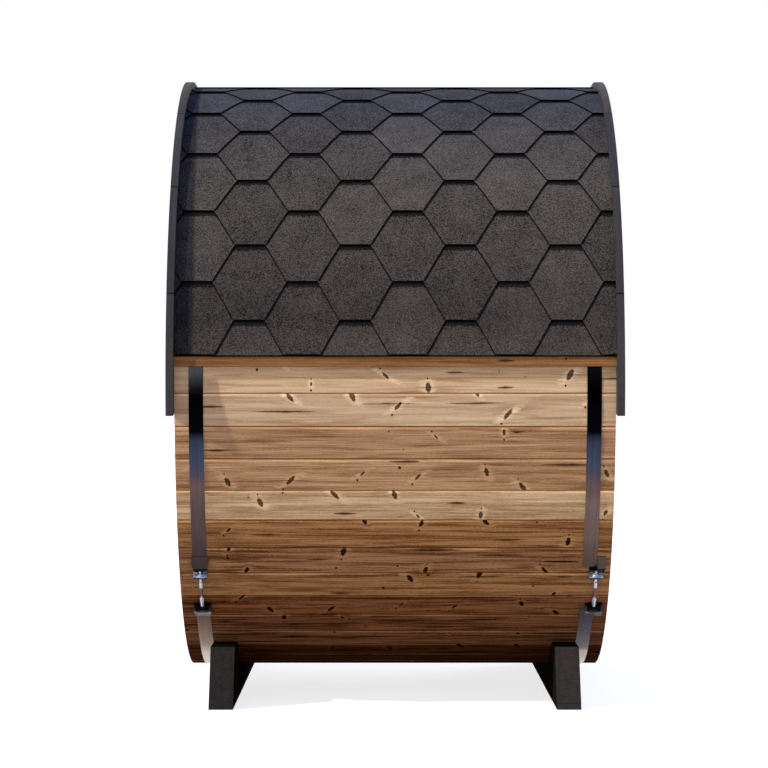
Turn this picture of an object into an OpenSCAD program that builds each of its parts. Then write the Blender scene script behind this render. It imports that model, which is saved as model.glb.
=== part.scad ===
// Barrel sauna: tongued staves on two cradles, held by two steel bands,
// with board ends let into the staves, a board roof under lapped shingles
// and a painted fascia around each end. Millimetres, Z up, X along the
// barrel with the door end at +X, origin on the ground below the middle.

/* [Barrel] */
// Outside diameter over the edges of the staves
barrel_d = 1900; // [1700:10:2300]
// Length of the staves
barrel_l = 1337; // [1100:1:2600]
// Number of staves around the barrel
stave_n = 59; // [48:1:72]
// Thickness of a stave
stave_t = 42; // [36:1:50]
// Radius of the round tongue along one edge of each stave
tongue_r = 9; // [6:0.5:11]
// Chamfer along the outer edges of a stave
stave_chamfer = 2.5; // [1:0.5:5]
// Level of the first stave joint on the left side, in degrees above the axis
stave_turn = -2.5; // [-6:0.1:6]
// Clearance between pieces that seat on each other
fit_gap = 0.3; // [0.2:0.1:0.6]

/* [End walls] */
// Thickness of the wall boards
wall_t = 40; // [30:1:50]
// Face width of a wall board
wall_board_w = 96; // [80:1:120]
// Chamfer along the outer edges of a wall board
wall_chamfer = 3; // [1:0.5:6]
// Depth of the groove in the staves that holds a wall
croze_depth = 10; // [6:0.5:11]
// Distance from the stave ends to the outer face of a wall
end_recess = 60; // [40:1:120]

/* [Door] */
// Wall boards that the doorway takes out of the front wall
door_boards = 7; // [5:2:7]
// Height of the wall over the doorway, at its middle
over_door = 116; // [112:1:200]
// Height of the wall under the doorway, at its middle
under_door = 156; // [112:1:260]
// Face width of the door frame
frame_w = 42; // [35:1:55]
// Amount by which the frame stands out from both faces of the wall
frame_proud = 8; // [2:1:15]
// Thickness of the door planks
door_t = 32; // [26:1:36]
// Number of planks in the door
door_planks = 6; // [4:1:8]
// Gap around the door
door_gap = 3; // [2:0.5:5]
// Width of the ledges across the inside of the door
ledge_w = 100; // [80:5:130]
// Thickness of the ledges
ledge_t = 22; // [18:1:28]
// Diameter of the handle bar
handle_d = 28; // [22:1:34]
// Length of the handle bar
handle_l = 340; // [250:10:450]
// Clear space between the handle bar and the door
handle_clear = 30; // [24:1:34]
// Height of a hinge
hinge_h = 100; // [80:5:140]

/* [Cradles] */
// Thickness of a cradle
cradle_t = 76; // [60:1:100]
// Height of the cradle under the lowest stave
cradle_rise = 76; // [60:1:120]
// Height of the cradle at its ends
cradle_h = 185; // [160:5:240]
// Length of a cradle along the ground
cradle_base_l = 1444; // [1300:2:1600]
// Length of a cradle along its top
cradle_top_l = 1230; // [1100:2:1280]
// Gap between a cradle and the band beside it
cradle_gap = 1; // [0.5:0.5:60]

/* [Bands] */
// Width of a steel band
band_w = 44; // [30:1:50]
// Thickness of a steel band
band_t = 1.4; // [1:0.1:2]
// Distance from the stave ends to the middle of a band
band_inset = 65.5; // [40:0.5:120]
// Level of the upper band lug, in degrees above the axis
lug_up = -38.7; // [-41:0.1:-30]
// Level of the lower band lug, in degrees above the axis
lug_down = -47.7; // [-55:0.1:-45]
// Outer radius of a lug
lug_r = 15; // [13:0.5:18]
// Thickness of the lug strap
lug_t = 2; // [1.5:0.1:3]
// Width of a lug
lug_w = 54; // [50:1:60]
// Length of the lug's tail along the band
tail_l = 62; // [45:1:80]
// Distance of the front band's lugs from the middle of that band
front_lug_shift = 20; // [12:0.5:22]
// Diameter of the tension rod
rod_d = 8; // [7:0.5:10]
// Diameter of the long nut at the lower end of the rod
long_nut_d = 14; // [12:0.5:16]
// Length of the long nut
long_nut_l = 57; // [40:1:70]
// Diameter of the plain shank below the upper nut
shank_d = 12; // [11:0.5:14]
// Length of the plain shank
shank_l = 28; // [15:1:35]
// Distance from the upper lug to the plain shank
shank_drop = 17; // [2:1:25]
// Width across the corners of the hexagon nut
nut_d = 19; // [16:0.5:21]
// Height of the hexagon nut
nut_h = 8; // [6:0.5:10]

/* [Roof] */
// Thickness of the roof boards
roof_board_t = 20; // [16:1:28]
// Number of roof boards
roof_board_n = 30; // [24:3:42]
// Level of the lower edge of the roof boards, in degrees above the axis
roof_eave = 2.4; // [0:0.1:12]
// Height of board that shows below the shingles
eave_show = 29; // [15:1:60]
// Thickness of the shingles at their lower edge
shingle_t = 6.5; // [5:0.5:9]
// Thickness of the shingles at their upper edge
shingle_top_t = 3.5; // [2.5:0.5:4.5]
// Number of shingle courses on each side
course_n = 12; // [9:1:16]

/* [Fascias] */
// Width of a fascia
fascia_w = 110; // [90:1:140]
// Height of a fascia above the shingles
fascia_proud = 20; // [8:0.5:35]
// Thickness of a fascia
fascia_t = 22.5; // [18:0.5:30]
// Boards in a fascia
fascia_n = 9; // [7:2:13]
// Arc that a fascia covers, in degrees
fascia_arc = 192.6; // [182:0.2:220]
// Open joint between neighbouring fascia boards
fascia_joint = 1.2; // [0.5:0.1:3]

/* [Hidden] */
$fn = 96;
// Facets of the rounds as wide as the barrel, in a preview
wide_fn = 720;
// Barrel and staves
barrel_r = barrel_d / 2;
axis_z = cradle_rise + barrel_r;
stave_a = 360 / stave_n;
stave_out = barrel_r * cos(stave_a / 2);
stave_in = stave_out - stave_t;
tongue_at = (stave_out + stave_in) / 2 / cos(stave_a / 2);
stave_groups = 6;
// End walls
croze_r = stave_in + croze_depth;
wall_r = croze_r - fit_gap;
wall_out = barrel_l / 2 - end_recess;
wall_mid = wall_out - wall_t / 2;
wall_least = 0.3 * wall_board_w;
wall_side_n = 1 + floor((wall_r - wall_board_w / 2 - wall_least) / wall_board_w);
// Door
door_half_n = (door_boards - 1) / 2;
doorway_w = door_boards * wall_board_w;
doorway_top = wall_r - over_door;
doorway_base = under_door - wall_r;
frame_out = wall_out + frame_proud;
frame_depth = wall_t + 2 * frame_proud;
frame_inner_w = doorway_w - 2 * frame_w;
leaf_w = frame_inner_w - 2 * door_gap;
leaf_top = doorway_top - frame_w - door_gap;
leaf_base = doorway_base + frame_w + door_gap;
leaf_h = leaf_top - leaf_base;
plank_w = leaf_w / door_planks;
plank_chamfer = 3;
ledge_inset = 12;
ledge_l = leaf_w - 2 * ledge_inset;
ledge_from_end = 140;
hinge_plate_w = 70;
hinge_plate_t = 3;
hinge_pin_d = 11;
hinge_from_end = 230;
handle_post_d = 18;
handle_end = 45;
// Bands and their tensioners
band_x = barrel_l / 2 - band_inset;
band_out = barrel_r + band_t;
lug_at = barrel_r + lug_r;
lug_mid = (lug_up + lug_down) / 2;
rod_at = lug_at * cos((lug_up - lug_down) / 2);
rod_half = lug_at * sin((lug_up - lug_down) / 2);
lug_bore = lug_r - lug_t;
tail_a = tail_l / barrel_r * 180 / PI;
lug_clear = 6;
lug_clear_a = (lug_r + lug_clear) / lug_at * 180 / PI;
lug_apex_r = band_out + lug_t / 2;
lug_apex = [lug_apex_r * cos(tail_a) - lug_at, lug_apex_r * sin(tail_a)];
lug_lean_a = atan2(lug_apex.y, lug_apex.x) - acos(lug_r / norm(lug_apex));
lug_lean = [cos(lug_lean_a), sin(lug_lean_a)];
lug_touch = lug_r * lug_lean;
upper_flare_at = 0.66 * tail_l;
lower_flare_at = 0.3 * tail_l;
lug_neck_at = 1.4 * lug_r;
lug_neck_w = lug_w - 11;
joint_a = fit_gap / barrel_r * 180 / PI;
pin_r = lug_bore - fit_gap;
saddle_w = lug_neck_w - 1;
upper_window_h = 1.75 * lug_r;
lower_window_w = lug_w - 10;
lower_window_base = 0.8 * lug_r;
rod_hole_d = rod_d + 2 * fit_gap;
long_nut_hole_d = long_nut_d + 2 * fit_gap;
long_nut_sink = 8;
rod_top = rod_half + nut_h + 9;
// Roof
deck_in = band_out + fit_gap;
deck_out = deck_in + roof_board_t;
deck_arc = 180 - 2 * roof_eave;
deck_a = deck_arc / roof_board_n;
deck_group = roof_board_n / 3;
shingle_in = deck_out / cos(deck_a / 2) + fit_gap;
shingle_out = shingle_in + shingle_t;
shingle_eave = roof_eave + eave_show / deck_out * 180 / PI;
course_a = (90 - shingle_eave) / course_n;
course_gap_a = fit_gap / shingle_in * 180 / PI;
course_drop = (shingle_t - shingle_top_t) / (course_a * PI / 180);
// Fascias
fascia_out = shingle_out + fascia_proud;
fascia_in = fascia_out - fascia_w;
fascia_a = fascia_arc / fascia_n;
fascia_joint_a = fascia_joint / fascia_out * 180 / PI;
fascia_start = 90 - fascia_arc / 2;
fascia_x = barrel_l / 2 + fit_gap + fascia_t / 2;
// Cradles
cradle_x = band_x - band_w / 2 - cradle_gap - cradle_t / 2;
// Colours
pine = "#a5713f";
pine_dark = "#8a5a34";
charcoal = "#38383a";
black_stain = "#2f2b29";
steel = "#8d9097";
zinc = "#b9bdc4";
shingle = "#4a4644";

// Extrudes a section, drawn with Y to the right and Z up, along the barrel.
module along(l, x = 0) {
    translate([x, 0, axis_z])
    rotate([90, 0, 90])
    linear_extrude(l, center = true)
    children();
}

// Turns a section drawn on its own +X to a level on the left side.
module turned(deg) {
    rotate(180 - deg)
    children();
}

// Places what is drawn at the left of the axis, outward -Y and upward +Z,
// at another level around the barrel.
module around(x, deg) {
    translate([x, 0, axis_z])
    rotate([-deg, 0, 0])
    children();
}

// Ring of rectangular section from one level up and over to another.
module sector(r0, r1, w, x, from, to) {
    translate([x, 0, axis_z])
    rotate([90, 0, 90])
    rotate([0, 0, 180 - to])
    rotate_extrude(angle = to - from, $fn = wide_fn)
    translate([r0, -w / 2])
    square([r1 - r0, w]);
}

// Half width of a tapered board at a distance from the axis.
function half_w(r, a) = r * tan(a / 2) - fit_gap / 2 / cos(a / 2);

// Section of a stave: tapered board, round tongue above, groove below.
module stave_section() {
    shoulder = stave_out - stave_chamfer;
    side = half_w(stave_out, stave_a) - stave_chamfer;
    difference() {
        union() {
            polygon([
                [stave_in, -half_w(stave_in, stave_a)],
                [shoulder, -half_w(shoulder, stave_a)],
                [stave_out, -side],
                [stave_out, side],
                [shoulder, half_w(shoulder, stave_a)],
                [stave_in, half_w(stave_in, stave_a)]
            ]);
            rotate(-stave_a / 2)
            translate([tongue_at, 0])
            circle(tongue_r);
        }
        rotate(stave_a / 2)
        translate([tongue_at, 0])
        circle(tongue_r + fit_gap);
    }
}

// One stave with the two grooves that hold the end walls.
module stave(k) {
    difference() {
        along(barrel_l)
        turned(stave_turn + (k + 0.5) * stave_a)
        stave_section();
        for (end = [-1, 1])
            along(wall_t + 2 * fit_gap, end * wall_mid)
            circle(croze_r, $fn = wide_fn);
    }
}

module stave_group(g) {
    first = floor(g * stave_n / stave_groups);
    last = floor((g + 1) * stave_n / stave_groups) - 1;
    color(pine)
    for (k = [first : last])
        stave(k);
}

module staves_left_upper() { stave_group(0); }
module staves_top() { stave_group(1); }
module staves_right_upper() { stave_group(2); }
module staves_right_lower() { stave_group(3); }
module staves_bottom() { stave_group(4); }
module staves_left_lower() { stave_group(5); }

// Trapezoid plank with a seat cut to the barrel.
module cradle(end) {
    color(black_stain)
    difference() {
        translate([end * cradle_x, 0, 0])
        rotate([90, 0, 90])
        linear_extrude(cradle_t, center = true)
        polygon([
            [-cradle_base_l / 2, 0],
            [cradle_base_l / 2, 0],
            [cradle_top_l / 2, cradle_h],
            [-cradle_top_l / 2, cradle_h]
        ]);
        along(2 * barrel_l)
        circle(barrel_r + fit_gap, $fn = wide_fn);
    }
}

module rear_cradle() { cradle(-1); }
module front_cradle() { cradle(1); }

// Upright board with chamfered outer edges, its outer face at x.
module upright_board(y0, y1, z0, z1, x, t, c) {
    translate([0, 0, z0])
    linear_extrude(z1 - z0)
    polygon([
        [x - t, y0],
        [x - c, y0],
        [x, y0 + c],
        [x, y1 - c],
        [x - c, y1],
        [x - t, y1]
    ]);
}

// Board i of an end wall, counted from the middle, cut to the round.
module wall_board(i) {
    last = abs(i) == wall_side_n;
    inner = (abs(i) - 0.5) * wall_board_w + fit_gap / 2;
    outer = last ? wall_r + wall_t : (abs(i) + 0.5) * wall_board_w - fit_gap / 2;
    intersection() {
        mirror([0, i < 0 ? 1 : 0, 0])
        upright_board(inner, outer, axis_z - wall_r - 1, axis_z + wall_r + 1,
            wall_out, wall_t, wall_chamfer);
        along(wall_t + 2, wall_mid)
        circle(wall_r, $fn = wide_fn);
    }
}

// Part of the front wall above or below the doorway.
module short_boards(z0, z1) {
    color(pine)
    for (i = [-door_half_n : door_half_n])
        intersection() {
            wall_board(i);
            translate([wall_out - wall_t - 1, -doorway_w / 2, z0])
            cube([wall_t + 2, doorway_w, z1 - z0]);
        }
}

module rear_wall() {
    color(pine)
    mirror([1, 0, 0])
    for (i = [-wall_side_n : wall_side_n])
        wall_board(i);
}

module front_wall_left() {
    color(pine)
    for (i = [door_half_n + 1 : wall_side_n])
        wall_board(-i);
}

module front_wall_right() {
    color(pine)
    for (i = [door_half_n + 1 : wall_side_n])
        wall_board(i);
}

module front_wall_over_door() {
    short_boards(axis_z + doorway_top + fit_gap, axis_z + wall_r + 1);
}

module front_wall_under_door() {
    short_boards(axis_z - wall_r - 1, axis_z + doorway_base - fit_gap);
}

// Piece of the door frame between two widths and two heights.
module frame_piece(y0, y1, z0, z1) {
    color(pine_dark)
    translate([frame_out - frame_depth, y0, axis_z + z0])
    cube([frame_depth, y1 - y0, z1 - z0]);
}

module door_jambs() {
    for (side = [0, 1])
        mirror([0, side, 0])
        frame_piece(frame_inner_w / 2, doorway_w / 2 - fit_gap / 2, doorway_base, doorway_top);
}

module door_head() {
    frame_piece(-frame_inner_w / 2 + fit_gap, frame_inner_w / 2 - fit_gap,
        doorway_top - frame_w, doorway_top);
}

module door_sill() {
    frame_piece(-frame_inner_w / 2 + fit_gap, frame_inner_w / 2 - fit_gap,
        doorway_base, doorway_base + frame_w);
}

module door_planks_outer() {
    color(pine)
    for (i = [0 : door_planks - 1])
        upright_board(-leaf_w / 2 + i * plank_w + fit_gap / 2,
            -leaf_w / 2 + (i + 1) * plank_w - fit_gap / 2,
            axis_z + leaf_base, axis_z + leaf_top, frame_out, door_t, plank_chamfer);
}

module door_ledges() {
    middle = (leaf_base + leaf_top) / 2;
    reach = leaf_h / 2 - ledge_from_end;
    color(pine_dark)
    for (at = [-reach, 0, reach])
        translate([frame_out - door_t - ledge_t, -ledge_l / 2, axis_z + middle + at - ledge_w / 2])
        cube([ledge_t, ledge_l, ledge_w]);
}

// Surface hinge over the gap at the right side of the door.
module hinge(z) {
    gap_mid = leaf_w / 2 + door_gap / 2;
    translate([frame_out, gap_mid, z])
    union() {
        translate([0, -hinge_plate_w / 2, -hinge_h / 2])
        cube([hinge_plate_t, hinge_plate_w, hinge_h]);
        translate([hinge_plate_t, 0, 0])
        cylinder(d = hinge_pin_d, h = hinge_h, center = true);
    }
}

module door_hinges() {
    color(steel)
    difference() {
        for (z = [leaf_base + hinge_from_end, leaf_top - hinge_from_end])
            hinge(axis_z + z);
        translate([frame_out - hinge_pin_d, -doorway_w, 0])
        cube([hinge_pin_d, 2 * doorway_w, 2 * axis_z]);
    }
}

// Round bar on two posts, at the left side of the door.
module door_handle() {
    reach = handle_l / 2 - handle_end;
    color(pine_dark)
    translate([frame_out, -leaf_w / 2 + plank_w / 2, axis_z + (leaf_base + leaf_top) / 2])
    union() {
        translate([handle_clear + handle_d / 2, 0, 0])
        cylinder(d = handle_d, h = handle_l, center = true);
        for (at = [-reach, reach])
            translate([0, 0, at])
            rotate([0, 90, 0])
            cylinder(d = handle_post_d, h = handle_clear + handle_d / 2);
    }
}

// Strip around the barrel, open between its two lugs. A lug in line with the
// strip carries on from its end, and a shifted lug sits beside it.
module band(x, shift) {
    end_a = shift == 0 ? tail_a + joint_a : lug_clear_a;
    color(steel)
    sector(barrel_r, band_out, band_w, x, lug_up + end_a, 360 + lug_down - end_a);
}

// Side view of a lug's strap, outward to the right: rolled around the pin,
// with its outer leg straight back to the band.
module lug_side() {
    difference() {
        union() {
            circle(lug_r);
            polygon([
                lug_touch,
                lug_apex,
                lug_apex - lug_t * lug_lean,
                lug_touch - lug_t * lug_lean
            ]);
        }
        circle(lug_bore);
    }
}

// Face view of a lug: it flares from the band, and the upper one draws in
// above its saddle. A shifted lug is cut away beside the end of the band.
module lug_face(shift, upper) {
    side = shift == 0 ? -band_w / 2 : band_w / 2 + fit_gap - shift;
    far = shift == 0 ? band_w / 2 : lug_w / 2;
    flare = upper ? upper_flare_at : lower_flare_at;
    foot = upper ? lug_neck_w / 2 : lug_w / 2;
    step = lug_r + lug_clear - fit_gap;
    polygon([
        [side, tail_l + lug_r],
        [far, tail_l + lug_r],
        [lug_w / 2, flare],
        if (upper) [foot, lug_neck_at],
        [foot, -lug_r],
        [-foot, -lug_r],
        if (shift != 0) [-foot, step],
        if (shift != 0) [side, step],
        if (shift == 0 && upper) [-foot, lug_neck_at],
        if (shift == 0) [-lug_w / 2, flare]
    ]);
}

// Opening of the upper lug, in which the nut on the saddle is turned.
module upper_window() {
    sill = lug_r / 3;
    translate([-lug_w, -2 * lug_r, -sill])
    cube([2 * lug_w, 2 * lug_r + sill, upper_window_h + sill]);
}

// Rounded notch of the lower lug, which clears the long nut.
module lower_window() {
    notch_r = lower_window_w / 2;
    depth = 2.5 * lug_r;
    translate([0, lug_r / 2, notch_r - lower_window_base])
    rotate([90, 0, 0])
    union() {
        cylinder(r = notch_r, h = depth);
        translate([-notch_r, 0, 0])
        cube([lower_window_w, 2 * lug_r, depth]);
    }
}

// Lug with its tail along the barrel, drawn at its own level.
module lug(x, shift, upper) {
    deg = upper ? lug_up : lug_down;
    difference() {
        intersection() {
            union() {
                around(x + shift, deg)
                translate([0, -lug_at, 0])
                mirror([0, 0, upper ? 0 : 1])
                rotate([90, 0, -90])
                linear_extrude(lug_w, center = true)
                lug_side();
                sector(barrel_r, band_out, lug_w, x + shift,
                    upper ? deg : deg - tail_a, upper ? deg + tail_a : deg);
            }
            around(x + shift, deg)
            translate([0, -lug_at, 0])
            mirror([0, 0, upper ? 0 : 1])
            rotate([90, 0, 0])
            linear_extrude(4 * lug_r, center = true)
            lug_face(shift, upper);
        }
        around(x + shift, deg)
        translate([0, -lug_at, 0])
        if (upper)
            upper_window();
        else
            lower_window();
        on_rod(x + shift)
        translate([0, 0, -rod_half])
        cylinder(d = upper ? shank_d + 2 : long_nut_d + 2, h = 2 * rod_half);
    }
}

module band_lugs(x, shift) {
    color(steel) {
        lug(x, shift, true);
        lug(x, shift, false);
    }
}

// Places what is drawn along +Z on the line of the tension rod.
module on_rod(x) {
    around(x, lug_mid)
    translate([0, -rod_at, 0])
    children();
}

// Half-round saddle in the upper lug and round pin in the lower one.
module band_pins(x) {
    color(zinc)
    difference() {
        union() {
            intersection() {
                on_rod(x)
                translate([0, 0, rod_half])
                rotate([0, 90, 0])
                cylinder(r = pin_r, h = saddle_w, center = true);
                on_rod(x)
                translate([-saddle_w, -2 * lug_r, rod_half - 2 * lug_r])
                cube([2 * saddle_w, 4 * lug_r, 2 * lug_r]);
            }
            on_rod(x)
            translate([0, 0, -rod_half])
            rotate([0, 90, 0])
            cylinder(r = pin_r, h = saddle_w, center = true);
        }
        on_rod(x)
        cylinder(d = rod_hole_d, h = 4 * rod_half);
        on_rod(x)
        mirror([0, 0, 1])
        cylinder(d = long_nut_hole_d, h = 4 * rod_half);
    }
}

module band_nut(x) {
    color(zinc)
    on_rod(x)
    translate([0, 0, rod_half])
    difference() {
        cylinder(d = nut_d, h = nut_h, $fn = 6);
        translate([0, 0, -1])
        cylinder(d = rod_hole_d, h = nut_h + 2);
    }
}

// Tension rod with its plain shank, and the long nut on its lower end that
// goes down into the pin.
module band_rod(x) {
    nut_base = -rod_half - long_nut_sink;
    shank_top = rod_half - lug_r - shank_drop;
    color(zinc)
    on_rod(x)
    union() {
        translate([0, 0, -rod_half])
        cylinder(d = rod_d, h = rod_half + rod_top);
        translate([0, 0, shank_top - shank_l])
        cylinder(d = shank_d, h = shank_l);
        translate([0, 0, nut_base])
        cylinder(d = long_nut_d, h = long_nut_l);
    }
}

module rear_band() { band(-band_x, 0); }
module rear_band_lugs() { band_lugs(-band_x, 0); }
module rear_band_pins() { band_pins(-band_x); }
module rear_band_nut() { band_nut(-band_x); }
module rear_band_rod() { band_rod(-band_x); }
module front_band() { band(band_x, front_lug_shift); }
module front_band_lugs() { band_lugs(band_x, front_lug_shift); }
module front_band_pins() { band_pins(band_x + front_lug_shift); }
module front_band_nut() { band_nut(band_x + front_lug_shift); }
module front_band_rod() { band_rod(band_x + front_lug_shift); }

// Tapered roof boards laid along the barrel over the bands.
module roof_boards(group) {
    color(pine_dark)
    for (k = [group * deck_group : (group + 1) * deck_group - 1])
        along(barrel_l)
        turned(roof_eave + (k + 0.5) * deck_a)
        polygon([
            [deck_in, -half_w(deck_in, deck_a)],
            [deck_out, -half_w(deck_out, deck_a)],
            [deck_out, half_w(deck_out, deck_a)],
            [deck_in, half_w(deck_in, deck_a)]
        ]);
}

module roof_boards_left() { roof_boards(0); }
module roof_boards_top() { roof_boards(1); }
module roof_boards_right() { roof_boards(2); }

// One course of shingles on the left, thicker at its lower edge. Its outer
// face is a round struck from a centre moved toward that edge.
module course(k) {
    reach = 2 * shingle_out;
    half = course_a / 2 - course_gap_a / 2;
    mid_t = (shingle_t + shingle_top_t) / 2;
    along(barrel_l)
    turned(shingle_eave + (k + 0.5) * course_a)
    difference() {
        intersection() {
            translate([0, course_drop])
            circle(sqrt(pow(shingle_in + mid_t, 2) + pow(course_drop, 2)), $fn = wide_fn);
            polygon([
                [0, 0],
                [reach, -reach * tan(half)],
                [reach, reach * tan(half)]
            ]);
        }
        circle(shingle_in, $fn = wide_fn);
    }
}

module shingles_left() {
    color(shingle)
    for (k = [0 : course_n - 1])
        course(k);
}

module shingles_right() {
    mirror([0, 1, 0])
    shingles_left();
}

// Arc of butted boards on the end of the barrel.
module fascia(end) {
    color(charcoal)
    for (k = [0 : fascia_n - 1])
        sector(fascia_in, fascia_out, fascia_t, end * fascia_x,
            fascia_start + k * fascia_a + fascia_joint_a / 2,
            fascia_start + (k + 1) * fascia_a - fascia_joint_a / 2);
}

module rear_fascia() { fascia(-1); }
module front_fascia() { fascia(1); }

rear_cradle();
front_cradle();
staves_left_upper();
staves_top();
staves_right_upper();
staves_right_lower();
staves_bottom();
staves_left_lower();
rear_wall();
front_wall_left();
front_wall_right();
front_wall_over_door();
front_wall_under_door();
door_jambs();
door_head();
door_sill();
door_planks_outer();
door_ledges();
door_hinges();
door_handle();
rear_band();
rear_band_lugs();
rear_band_pins();
rear_band_nut();
rear_band_rod();
front_band();
front_band_lugs();
front_band_pins();
front_band_nut();
front_band_rod();
roof_boards_left();
roof_boards_top();
roof_boards_right();
shingles_left();
shingles_right();
rear_fascia();
front_fascia();
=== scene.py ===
import math

import bmesh
import bpy
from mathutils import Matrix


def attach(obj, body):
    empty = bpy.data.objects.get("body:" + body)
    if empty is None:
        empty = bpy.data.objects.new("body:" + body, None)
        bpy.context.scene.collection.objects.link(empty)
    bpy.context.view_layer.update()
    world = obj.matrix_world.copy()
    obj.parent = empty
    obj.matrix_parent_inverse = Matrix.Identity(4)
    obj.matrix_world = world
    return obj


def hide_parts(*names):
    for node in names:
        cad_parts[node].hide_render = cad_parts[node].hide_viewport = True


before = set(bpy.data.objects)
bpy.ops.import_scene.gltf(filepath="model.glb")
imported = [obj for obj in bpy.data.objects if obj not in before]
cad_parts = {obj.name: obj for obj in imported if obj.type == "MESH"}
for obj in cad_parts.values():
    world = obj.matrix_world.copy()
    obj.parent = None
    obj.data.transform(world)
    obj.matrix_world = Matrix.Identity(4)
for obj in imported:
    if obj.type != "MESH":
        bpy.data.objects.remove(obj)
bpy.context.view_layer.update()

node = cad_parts


# The view: a long lens, level with the barrel's axis and square to its left flank.
# The frame is 768 pixels wide, and the focal length was fitted to the barrel's own joints.
view_pixels = 768
focal_pixels = 2706.58
sensor = 36.0
view = bpy.data.cameras.new("flank_view")
view.sensor_width = sensor
view.lens = focal_pixels / view_pixels * sensor
eye_place = (-0.034, -9.135, 1.013)
view_stand = bpy.data.objects.new("flank_view", view)
view_stand.location = eye_place
view_stand.rotation_euler = (math.radians(90), 0, 0)
scene = bpy.context.scene
scene.collection.objects.link(view_stand)
scene.camera = view_stand
scene.view_settings.view_transform = "Standard"


# The ground and the light round it: a plain white floor, a dome that is brightest along the
# horizon and blue overhead, a small warm lamp off the rear end and a broad weak one behind
# the front end. Lamps are given by their direction, strength, softness in degrees and colour.
def tint(red, green, blue):
    """A colour as the eye reads it, 0 to 255 a channel, in Blender's linear values."""
    linear = []
    for channel in (red, green, blue):
        share = channel / 255
        linear.append(share / 12.92 if share <= 0.04045 else ((share + 0.055) / 1.055) ** 2.4)
    return (*linear, 1.0)


def add(tree, kind, feeds=None, **traits):
    """A node of one kind, with its traits set and its inputs given values or other nodes' outputs."""
    made = tree.nodes.new(kind)
    for trait, value in traits.items():
        setattr(made, trait, value)
    for socket, feed in (feeds or {}).items():
        if isinstance(feed, bpy.types.NodeSocket):
            tree.links.new(feed, made.inputs[socket])
        else:
            made.inputs[socket].default_value = feed
    return made


def sums(tree, operation, *feeds, clamp=False):
    """One step of arithmetic on values or sockets."""
    made = add(tree, "ShaderNodeMath", dict(enumerate(feeds)), operation=operation, use_clamp=clamp)
    return made.outputs[0]


def spread(tree, value, low, high, to_low=0.0, to_high=1.0, smooth=True):
    """A value carried from one span to another, held at both ends."""
    feeds = {"Value": value, "From Min": low, "From Max": high, "To Min": to_low, "To Max": to_high}
    kind = "SMOOTHSTEP" if smooth else "LINEAR"
    return add(tree, "ShaderNodeMapRange", feeds, interpolation_type=kind).outputs["Result"]


def seen_ray(tree):
    """1 for the rays that look at the setting, straight, in a reflection or through glass."""
    path = add(tree, "ShaderNodeLightPath").outputs
    direct = sums(tree, "MAXIMUM", path["Is Camera Ray"], path["Is Glossy Ray"])
    return sums(tree, "MAXIMUM", direct, path["Is Transmission Ray"])


def ramp(tree, value, stops, steps="LINEAR"):
    """A colour, and a fourth value with it, that follow a value through a row of stops."""
    made = add(tree, "ShaderNodeValToRGB", {0: value})
    made.color_ramp.interpolation = steps
    while len(made.color_ramp.elements) < len(stops):
        made.color_ramp.elements.new(0.5)
    for element, (place, colour) in zip(made.color_ramp.elements, stops):
        element.position = place
        element.color = colour
    return made.outputs


dome_strength = 1.0
sky_tones = (
    (0.0, (2.46, 2.38, 2.24, 1)), (0.25, (1.12, 1.07, 1.02, 1)), (0.5, (0.26, 0.29, 0.38, 1)),
    (0.75, (0.12, 0.22, 0.55, 1)), (1.0, (0.02, 0.28, 2.60, 1)))
dome = bpy.data.worlds.new("open_sky")
scene.world = dome
dome.use_nodes = True
tree = dome.node_tree
tree.nodes.clear()
toward = add(tree, "ShaderNodeTexCoord").outputs["Generated"]
height = add(tree, "ShaderNodeSeparateXYZ", {0: toward}).outputs["Z"]
sky = ramp(tree, height, sky_tones)["Color"]
lit = add(tree, "ShaderNodeBackground", {"Color": sky, "Strength": dome_strength})
bare = add(tree, "ShaderNodeBackground", {"Color": (1, 1, 1, 1), "Strength": 1.0})
both = add(tree, "ShaderNodeMixShader", {0: seen_ray(tree), 1: lit.outputs[0], 2: bare.outputs[0]})
add(tree, "ShaderNodeOutputWorld", {"Surface": both.outputs[0]})

lamp_distance = 8.0
lamps = {
    "rear_end_lamp": ((-0.819, -0.295, 0.491), 3.4, 1.5, (1.0, 0.94, 0.84)),
    "front_end_lamp": ((0.74, 0.58, 0.34), 1.1, 25.0, (1.0, 0.98, 0.96)),
}
for name, (place, strength, softness, colour) in lamps.items():
    lamp = bpy.data.lights.new(name, "SUN")
    lamp.energy = strength
    lamp.angle = math.radians(softness)
    lamp.color = colour
    stand = bpy.data.objects.new(name, lamp)
    stand.location = [lamp_distance * step for step in place]
    stand.rotation_mode = "QUATERNION"
    stand.rotation_quaternion = stand.location.to_track_quat("Z", "Y")
    scene.collection.objects.link(stand)

floor_reach = 60.0
floor_glow = 0.76
floor_colour = (0.62, 0.62, 0.62, 1)
bounce_colour = (0.42, 0.37, 0.32, 1)
floor_paint = bpy.data.materials.new("white_floor")
floor_paint.use_nodes = True
tree = floor_paint.node_tree
tree.nodes.clear()
shaded = add(tree, "ShaderNodeBsdfDiffuse", {"Color": floor_colour})
glow = add(tree, "ShaderNodeEmission", {"Color": (1, 1, 1, 1), "Strength": floor_glow})
shown = add(tree, "ShaderNodeAddShader", {0: shaded.outputs[0], 1: glow.outputs[0]})
bounce = add(tree, "ShaderNodeBsdfDiffuse", {"Color": bounce_colour})
both = add(tree, "ShaderNodeMixShader", {0: seen_ray(tree), 1: bounce.outputs[0], 2: shown.outputs[0]})
add(tree, "ShaderNodeOutputMaterial", {"Surface": both.outputs[0]})
floor_mesh = bpy.data.meshes.new("floor")
corners = [(-1, -1), (1, -1), (1, 1), (-1, 1)]
floor_mesh.from_pydata([(floor_reach * x, floor_reach * y, 0) for x, y in corners], [], [(0, 1, 2, 3)])
floor_mesh.materials.append(floor_paint)
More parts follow.
